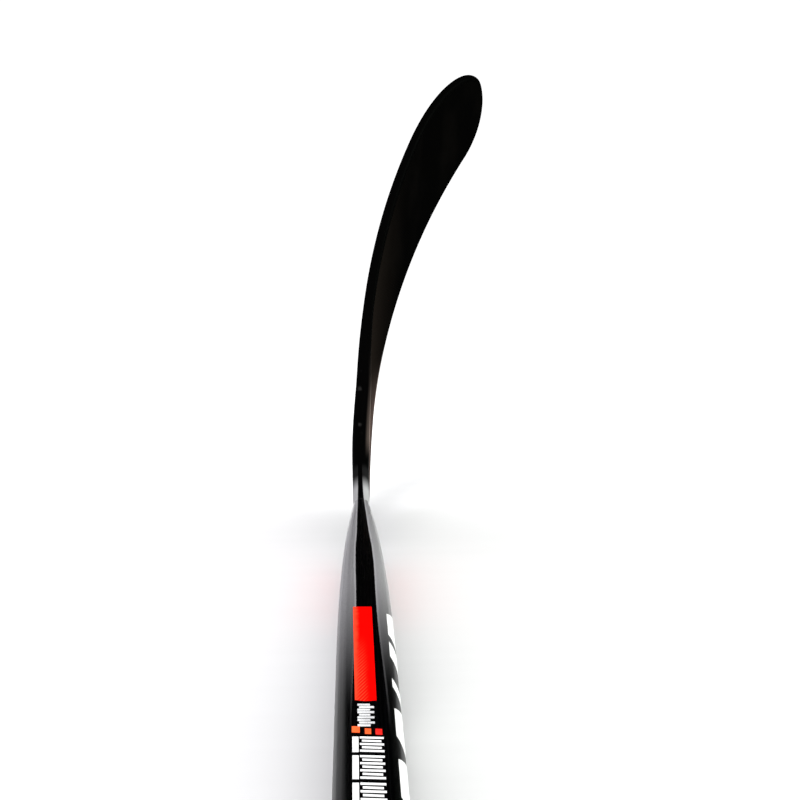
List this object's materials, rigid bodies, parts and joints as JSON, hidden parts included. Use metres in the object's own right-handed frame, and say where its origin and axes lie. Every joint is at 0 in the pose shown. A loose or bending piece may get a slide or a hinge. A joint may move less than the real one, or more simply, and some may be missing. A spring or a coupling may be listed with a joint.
{
  "type": "ice hockey stick",
  "caption": "Left-handed composite ice hockey stick: hollow rounded rectangular shaft, curved foam-cored blade and a ribbed butt plug.",
  "frame": {"origin": "on the shaft's rear narrow face, at the middle of the tube's length", "axes": "+Y along the shaft towards the blade, +Z out of the shaft's front narrow face, +X towards the side that the toe curves to (the forehand side)"},
  "size_m": [0.0991, 1.7247, 0.2476],
  "materials": {
    "shaft": "glossy clear coat over black carbon, grey towards the neck's corners",
    "blade_skin": "satin black carbon with a fine weave",
    "rail": "satin black resin edge with light flecks",
    "foam": "fine closed-cell foam",
    "rib": "bare carbon laminate",
    "adhesive": "cured epoxy",
    "plug": "moulded, fine texture",
    "red_film": "printed film under clear coat",
    "white_film": "printed film under clear coat"
  },
  "bodies": {
    "stick": {"shaft_tube": "shaft", "edge_rail": "rail", "forehand_skin": "blade_skin", "backhand_skin": "blade_skin", "lower_core": "foam", "upper_core": "foam", "blade_rib": "rib", "hosel_tenon": "rib", "tenon_bond": "adhesive", "front_flash_film": "red_film", "front_bar_film": "white_film", "right_mark_film": "white_film", "left_mark_film": "white_film"},
    "plug": {"end_plug": "plug"}
  },
  "joints": [
    {"name": "end_plug_pull", "type": "slide", "parent": "stick", "child": "plug", "axis": [0, -1, 0], "range_m": [0, 0.06]}
  ]
}
